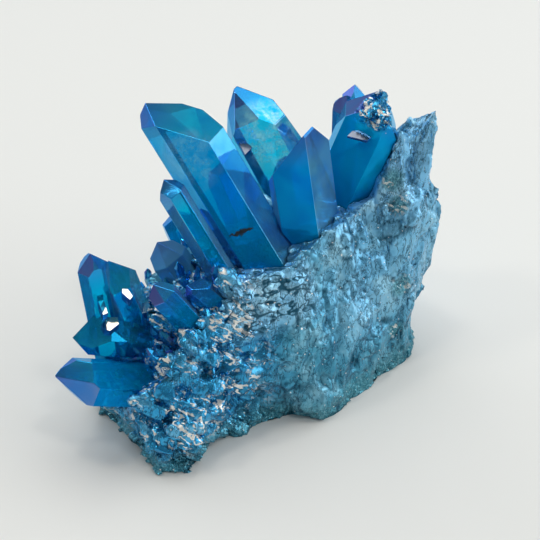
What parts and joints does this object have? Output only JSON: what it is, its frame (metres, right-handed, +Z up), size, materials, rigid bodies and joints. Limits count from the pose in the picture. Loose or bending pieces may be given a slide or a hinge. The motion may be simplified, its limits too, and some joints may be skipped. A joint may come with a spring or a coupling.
{
  "type": "aura quartz cluster",
  "caption": "Loose mineral cluster: clear blue metal-coated quartz points standing on a rough, glittering blue-grey rock with a broken front wall.",
  "frame": {"origin": "middle of the flat underside of the rock's box, on the surface it stands on", "axes": "+X along the longest side, from the low left crystals to the high right end; -Y is the broken front wall; +Z up"},
  "size_m": [0.0956, 0.0642, 0.0696],
  "materials": {
    "coated_rock": "rough broken quartz rock under a thin iridescent blue metal film, glittering",
    "coated_crystal": "clear quartz with a thin blue metal film, glossy, see-through"
  },
  "bodies": {
    "root": {"matrix": "coated_rock", "long_leaning_crystal": "coated_crystal", "cloudy_back_crystal": "coated_crystal", "dark_pointed_crystal": "coated_crystal", "broad_right_crystal": "coated_crystal", "slim_twin_crystals": "coated_crystal", "slender_left_crystal": "coated_crystal", "blunt_left_crystal": "coated_crystal", "upper_left_bunch": "coated_crystal", "lowest_side_crystal": "coated_crystal", "navy_sloping_crystal": "coated_crystal", "violet_capped_crystal": "coated_crystal", "rear_middle_crystal": "coated_crystal", "rear_broad_crystal": "coated_crystal", "rear_right_crystal": "coated_crystal", "rear_low_crystal": "coated_crystal", "rear_left_crystal": "coated_crystal"}
  },
  "joints": []
}
